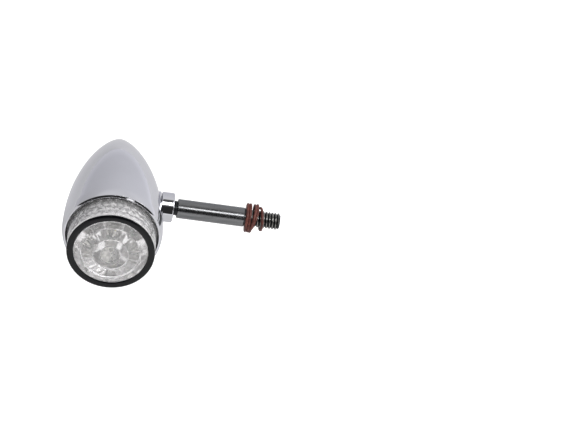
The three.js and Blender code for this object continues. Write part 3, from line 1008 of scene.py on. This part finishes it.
def make_reflector(bright, darker_silver):
    rows, around, depth = 4, 36, 0.55
    wall_low, wall_high = REFLECTOR_RIM_Y + 0.3, REFLECTOR_BACK_Y - 0.2
    outer_r = REFLECTOR_R
    heights = rows * 8
    wall = [(outer_r, wall_low + (wall_high - wall_low) * i / heights) for i in range(heights + 1)]
    floor_r = REFLECTOR_R - 2.4
    inner_top = REFLECTOR_R - 1.1
    bowl_height = REFLECTOR_RIM_Y - REFLECTOR_FLOOR_Y
    inner_wall = [
        (floor_r + (inner_top - floor_r) * i / 12, REFLECTOR_FLOOR_Y + bowl_height * i / 12)
        for i in range(13)
    ]
    floor = [(r, REFLECTOR_FLOOR_Y) for r in (0, 4, 8, 12)]
    profile = [*floor, *inner_wall, (outer_r - 0.3, REFLECTOR_RIM_Y), *wall,
               (outer_r, REFLECTOR_BACK_Y), (0, REFLECTOR_BACK_Y)]
    outer_relief = pillows(around, wall_low, wall_high, rows, depth)
    inner_relief = pillows(24, REFLECTOR_RIM_Y, REFLECTOR_FLOOR_Y, 2, 0.35)

    def relief(radius, along, turn):
        if radius > outer_r - 0.05:
            return outer_relief(radius, along, turn)
        if floor_r + 0.05 < radius < inner_top + 0.05:
            moved, along = inner_relief(radius, along, turn)
            return 2 * radius - moved - 0.35, along
        return radius, along

    steps = []
    for x, z in led_places:
        cup = []
        for i in range(13):
            share = i / 12
            y = REFLECTOR_FLOOR_Y + (REFLECTOR_BACK_Y - 1.2 - REFLECTOR_FLOOR_Y) * share
            cup.append((CUP_BACK_R + (CUP_FRONT_R - CUP_BACK_R) * math.sqrt(1 - share), y))
        outline = [(0, REFLECTOR_FLOOR_Y - 0.5), (CUP_FRONT_R, REFLECTOR_FLOOR_Y - 0.5), *cup,
                   (CUP_BACK_R, REFLECTOR_BACK_Y + 0.5), (0, REFLECTOR_BACK_Y + 0.5)]
        steps.append(("DIFFERENCE", spin(outline, on_lamp(x, z), 48)))
    for x, z in screw_places:
        hole = prism(24, BOARD_SCREW_R + 0.1, REFLECTOR_BACK_Y - 4.2, REFLECTOR_BACK_Y + 0.5,
                     on_lamp(x, z))
        steps.append(("DIFFERENCE", hole))
    mesh = combined("reflector", spin(profile, on_lamp(), 288, relief=relief), *steps)
    piece(
        "silvered_reflector", mesh, HEAD, [bright, darker_silver], ["reflector"],
        crease=40,
    )
    # The outer wall takes the darker copy of the silvering.
    for face in mesh.polygons:
        x, y, z = face.center / MM
        if math.hypot(x - LAMP_X, z) > outer_r - depth - 0.1 and y > wall_low:
            face.material_index = 1


def make_led(index, place, epoxy, metal, chip):
    """A 5 mm LED: the clear body, the frame with its cup, and the chip in the cup."""
    at = on_lamp(*place)
    base = BOARD_FRONT_Y - 0.1
    dome_y = base - LED_LENGTH + LED_R
    body = [(0, dome_y - LED_R)]
    body += [(LED_R * math.sin(a), dome_y - LED_R * math.cos(a)) for a in
             (math.pi / 2 * i / 10 for i in range(1, 11))]
    body += filleted([body[-1], (LED_R, base - 1, 0.15), (LED_FLANGE_R, base - 1, 0.1),
                      (LED_FLANGE_R, base, 0.1), (0, base)])[1:]

    def flat_side(radius, along, turn):
        across = math.cos(2 * math.pi * turn)
        limit = LED_FLAT / across if across > 0.8 and along > base - 1.2 else radius
        return min(radius, limit), along

    name = f"led_{index + 1}"
    piece(f"{name}_epoxy", spin(body, at, 48, relief=flat_side), HEAD, [epoxy],
          [name])
    cup_y = dome_y + 0.9
    cup = filleted([
        (0, cup_y + 0.4), (0.2, cup_y + 0.4), (0.65, cup_y - 0.35), (0.85, cup_y - 0.35, 0.05),
        (0.85, cup_y + 1.0, 0.2), (0, cup_y + 1.0),
    ])
    pins = []
    for side, top in ((-1, cup_y + 0.7), (1, cup_y + 0.1)):
        foot = at @ Matrix.Translation((side * LED_PIN_OFFSET, 0, 0))
        pins.append(prism(4, 0.36, top, base - 0.2, foot, 45))
    sideways = Matrix.Rotation(-math.pi / 2, 4, "Y")
    bridge = at @ Matrix.Translation((0, 0, cup_y + 0.85)) @ sideways
    flag = at @ Matrix.Translation((LED_PIN_OFFSET, 0, cup_y + 0.25)) @ sideways
    steps = [("UNION", shape) for shape in (
        prism(4, 0.3, 0, 1.3, bridge, 45), pins[0], pins[1], prism(4, 0.3, -0.2, 0.32, flag, 45),
    )]
    piece(f"{name}_frame", combined("frame", spin(cup, at, 24), *steps), HEAD, [metal])
    piece(f"{name}_chip", prism(4, 0.3, cup_y + 0.15, cup_y + 0.45, at, 45), HEAD, [chip])


def cross_recess(place, top, depth, reach, width):
    """A plus-shaped tool for a screw's recess, as two crossed tapering bars."""
    arms = []
    for turn in (0, 90):
        bar = place @ Matrix.Rotation(math.radians(turn), 4, "Z")
        low, high = (reach * 0.35, width * 0.35, top - depth), (reach, width, top + 0.3)
        vertices = []
        for half_long, half_wide, along in (low, high):
            for a, b in ((-1, -1), (1, -1), (1, 1), (-1, 1)):
                vertices.append(bar @ Vector((a * half_long, b * half_wide, along)))
        faces = [[3, 2, 1, 0], [4, 5, 6, 7]]
        faces += [[i, (i + 1) % 4, 4 + (i + 1) % 4, 4 + i] for i in range(4)]
        arms.append((vertices, faces))
    return arms


def make_board_screw(index, place, metal):
    at = on_lamp(*place)
    tip = REFLECTOR_BACK_Y - 4
    head = BOARD_BACK_Y + 0.1
    top = head + 1.4

    def pointed(along):
        return 0.25 + (along - tip) * 0.9

    shank = thread(
        tip, head + 0.3, BOARD_SCREW_PITCH, BOARD_SCREW_R, BOARD_SCREW_ROOT_R, at, pointed, 32,
    )
    cap = filleted([
        (0, head), (BOARD_SCREW_HEAD_R, head, 0.08), (BOARD_SCREW_HEAD_R, head + 0.75, 0.3),
        (1.2, top, 0.3), (0, top),
    ])
    arms = cross_recess(at, top, 0.8, 0.85, 0.17)
    cuts = [("DIFFERENCE", arm) for arm in arms]
    mesh = combined("screw", spin(cap, at, 48), ("UNION", shank), *cuts)
    name = f"board_screw_{index + 1}"
    piece(f"{name}_zinc", mesh, HEAD, [metal], [name])


def make_set_screw(metal):
    outer_z = corners("lens_set_screw")[0].z
    at = Matrix.Translation((LAMP_X, SET_SCREW_Y, 0))
    end = outer_z + SET_SCREW_LENGTH

    def chamfered(along):
        return min(SET_SCREW_R - 0.3 + along - outer_z, SET_SCREW_R - 0.3 + end - along)

    root_r = SET_SCREW_R - 0.28
    body = thread(outer_z, end, SET_SCREW_PITCH, SET_SCREW_R, root_r, at, chamfered, 40)
    socket = prism(6, 0.85, outer_z - 0.5, outer_z + 1.0, at)
    mesh = combined("screw", body, ("DIFFERENCE", socket))
    piece("set_screw", mesh, HEAD, [metal], ["lens_set_screw"])


def make_resistor(index, coat, wire):
    low, high = corners(f"resistor_{index + 1}")
    centre = (low + high) / 2
    half = (high.x - low.x) / 2
    radius = (high.z - low.z) / 2
    at = Matrix.Translation(centre) @ ALONG_X
    profile = filleted([
        (0, -half), (radius, -half, 0.4), (radius, -half + 1.5, 0.3), (radius * 0.82, -half + 2.0, 0.3),
        (radius * 0.82, half - 2.0, 0.3), (radius, half - 1.5, 0.3), (radius, half, 0.4), (0, half),
    ])
    name = f"resistor_{index + 1}"
    piece(f"{name}_body", spin(profile, at, 32), HEAD, [coat], [name])
    for side, label in ((-1, "left"), (1, "right")):
        bend = side * (half + 1.0)
        path = smooth_path([
            centre + Vector((side * (half - 0.4), 0, 0)), centre + Vector((side * (half + 0.5), 0, 0)),
            centre + Vector((bend, -0.4, 0)), Vector((centre.x + bend, BOARD_BACK_Y, centre.z)),
            Vector((centre.x + bend, BOARD_BACK_Y - 0.6, centre.z)),
        ], 0.15)
        piece(f"{name}_wire_{label}", tube(path, RESISTOR_WIRE_R, 10), HEAD, [wire],
              crease=60)


# ---------------------------------------------------------------- stem, nut and leads
def make_stem(bright, dark):
    chamfer = 0.4
    shank = filleted([
        (0, SHANK_IN_X), (SHANK_R - chamfer, SHANK_IN_X), (SHANK_R, SHANK_IN_X + chamfer, 0.15),
        (SHANK_R, -chamfer, 0.15), (SHANK_R - chamfer, 0), (RELIEF_R, 0),
        (RELIEF_R, RELIEF_LENGTH - 0.4), (RELIEF_R - 0.3, RELIEF_LENGTH + 0.4),
        (0, RELIEF_LENGTH + 0.4),
    ])

    def inner_blank(along):
        neck = NECK_R if along > NUT_OUT_X - 0.3 else THREAD_R
        return min(neck, THREAD_R - 0.8 + along - STEM_IN_X)

    def outer_blank(along):
        start = RELIEF_R + (along - RELIEF_LENGTH + 0.4) * 1.02
        return min(start, THREAD_R - 0.9 + (STEM_OUT_X - along) * 1.1)

    section = (THREAD_PITCH, THREAD_R, THREAD_ROOT_R, ALONG_X)
    inner = thread(STEM_IN_X, SHANK_IN_X + 0.5, *section, inner_blank)
    outer = thread(RELIEF_LENGTH - 0.4, STEM_OUT_X, *section, outer_blank)
    bore = [
        (0, STEM_IN_X - 1), (BORE_R + 0.6, STEM_IN_X - 1), (BORE_R + 0.6, STEM_IN_X),
        (BORE_R, STEM_IN_X + 0.6), (BORE_R, BORE_END_X - 1), (0, BORE_END_X),
    ]
    port_place = Matrix.Translation((PORT_X, 0, 0)) @ ALONG_Y
    port = [(0, 0), (PORT_R, 0), (PORT_R, THREAD_R + 1), (0, THREAD_R + 1)]
    mesh = combined(
        "stem", spin(shank, ALONG_X, 64),
        ("UNION", inner), ("UNION", outer),
        ("DIFFERENCE", spin(bore, ALONG_X, 48)),
        ("DIFFERENCE", spin(port, port_place, 40)),
    )
    piece("threaded_stem", mesh, STEM_BODY, [bright, dark], ["stem"], crease=38)
    for face in mesh.polygons:
        if not SHANK_IN_X - 0.01 <= face.center.x / MM <= RELIEF_LENGTH - 0.5:
            face.material_index = 1


def make_nut(material):
    """A polished hexagon nut: crowned flats, worn corners, and both faces turned to a cone."""
    apothem = NUT_ACROSS_FLATS / 2
    crown = 0.58                # share of the turn along a flat that its normal follows
    corner = 0.04               # half the turn that a worn corner takes, in radians
    face_r = apothem - 0.15
    bore_r = THREAD_R + 0.3
    slope = math.tan(math.radians(30))

    def crowned(off_flat):
        return (apothem + 0.25) * math.cos((1 - crown) * off_flat) ** (-1 / (1 - crown))

    def hex_radius(turn):
        off_flat = abs((turn * 2 * math.pi + math.pi / 6) % (math.pi / 3) - math.pi / 6)
        off_corner = math.pi / 6 - off_flat
        if off_corner >= corner:
            return crowned(off_flat)
        edge = crowned(math.pi / 6 - corner)
        rise = edge * math.tan((1 - crown) * (math.pi / 6 - corner)) * corner / 2
        return edge + rise * (1 - (off_corner / corner) ** 2)

    def relief(radius, along, turn):
        if radius < apothem:
            return radius, along
        full = hex_radius(turn)
        cone = (full - face_r) * slope + 0.02
        # The rings on each end are the cone's softened edge, the flat's end and a ring that holds
        # the flat's shading straight.
        inset, further = {1: (0.07, -0.05), 2: (0, 0.07), 3: (0, 0.25)}[round(radius - apothem)]
        r, gap = full - inset, cone + further
        return r, (NUT_IN_X + gap) if along < (NUT_IN_X + NUT_OUT_X) / 2 else (NUT_OUT_X - gap)

    def end(face_x, inward):
        return [
            (bore_r, face_x + inward * 0.55), (bore_r + 0.5, face_x + inward * 0.05),
            (bore_r + 0.58, face_x), (face_r - 0.08, face_x),
            (face_r + 0.04, face_x + inward * 0.03),
            *((apothem + ring, face_x) for ring in (1, 2, 3)),
        ]

    profile = [*end(NUT_IN_X, 1), *reversed(end(NUT_OUT_X, -1))]
    place = ALONG_X @ Matrix.Rotation(math.radians(NUT_TURN), 4, "Z")
    piece(
        "hex_lock_nut", spin(profile, place, 180, closed=True, relief=relief), NUT_BODY,
        [material], ["lock_nut"], crease=50,
    )


def make_inner_leads(finish):
    """The stretches of both leads inside the head and inside the stem."""
    for label, side in (("power", 1), ("ground", -1)):
        z = side * LEAD_OFFSET
        start = LAMP_X + 2.5
        head_points = [
            (start, BOARD_BACK_Y + 0.1, 2 * z), (start, BOARD_BACK_Y + 6, 2 * z),
            (start + 1.2, -8, 1.6 * z), (start + 4, -1.6, z), (LEAD_SPLIT_X - 2, 0, z),
            (LEAD_SPLIT_X - 0.15, 0, z),
        ]
        stem_points = [
            (LEAD_SPLIT_X + 0.15, 0, z), (SHANK_IN_X, 0, z), (SHANK_IN_X / 2, 0, z), (PORT_X - 3, 0, z),
            (PORT_X - 0.9, 0.5, z), (PORT_X, 2, z), (PORT_X, 4.05, z),
        ]
        for part, body, points in (("head", HEAD, head_points), ("stem", STEM_BODY, stem_points)):
            node = f"{label}_lead_{part}"
            piece(f"{node}_wire", tube(smooth_path(points, 0.4), LEAD_R), body, [finish],
                  [node], crease=60)


# ---------------------------------------------------------------- scene
bpy.context.scene.view_settings.view_transform = "Standard"

make_camera()
lead_finish = insulation()
make_cord("ground_lead_winding", (PORT_X, LEAD_EXIT_Y, -LEAD_OFFSET), INNER_LEAD_KEYS,
          "lead_coil_tight", lead_finish)
make_cord("power_lead_winding", (PORT_X, LEAD_EXIT_Y, LEAD_OFFSET), OUTER_LEAD_KEYS,
          "lead_coil_loose", lead_finish)

make_world()
make_floor()

shell_chrome = chrome("shell_chrome", (0.63, 0.63, 0.665, 1), (0.59, 0.59, 0.62, 1))
nut_chrome = chrome("nut_chrome", (0.64, 0.64, 0.67, 1), (0.58, 0.58, 0.61, 1))
lens_plastic = clear_plastic("lens_plastic", (0.985, 0.98, 0.985, 1), 0.91, 1.5, 0.0, 0.03)
led_epoxy = clear_plastic("led_epoxy", (0.97, 0.97, 0.95, 1), 0.92, 1.5, 0.0, 0.05)
zinc = plated("zinc_plate", (0.42, 0.43, 0.44, 1), (0.6, 0.6, 0.6, 1))
frame_metal = plated("frame_metal", (0.62, 0.61, 0.58, 1), (0.76, 0.75, 0.72, 1))
chip = led_chip()
coat_bright = silvered("silvered_bright", (0.92, 0.91, 0.91, 1), (0.98, 0.97, 0.97, 1))
coat_darker = silvered("silvered_darker", (0.52, 0.515, 0.51, 1), (0.66, 0.655, 0.65, 1))

make_housing(shell_chrome, bare_casting_painted_shade())
make_lens(lens_plastic)
make_trim_ring(gloss_black())
make_seal(rubber())
make_reflector(coat_bright, coat_darker)
for number, place in enumerate(led_places):
    make_led(number, place, led_epoxy, frame_metal, chip)
for number, place in enumerate(screw_places):
    make_board_screw(number, place, zinc)
make_set_screw(zinc)
coat = resistor_coat()
for number in range(3):
    make_resistor(number, coat, frame_metal)
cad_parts["led_board"].data.materials.clear()
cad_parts["led_board"].data.materials.append(board_mask())
make_stem(turned_steel(), dark_thread())
make_nut(nut_chrome)
make_inner_leads(lead_finish)
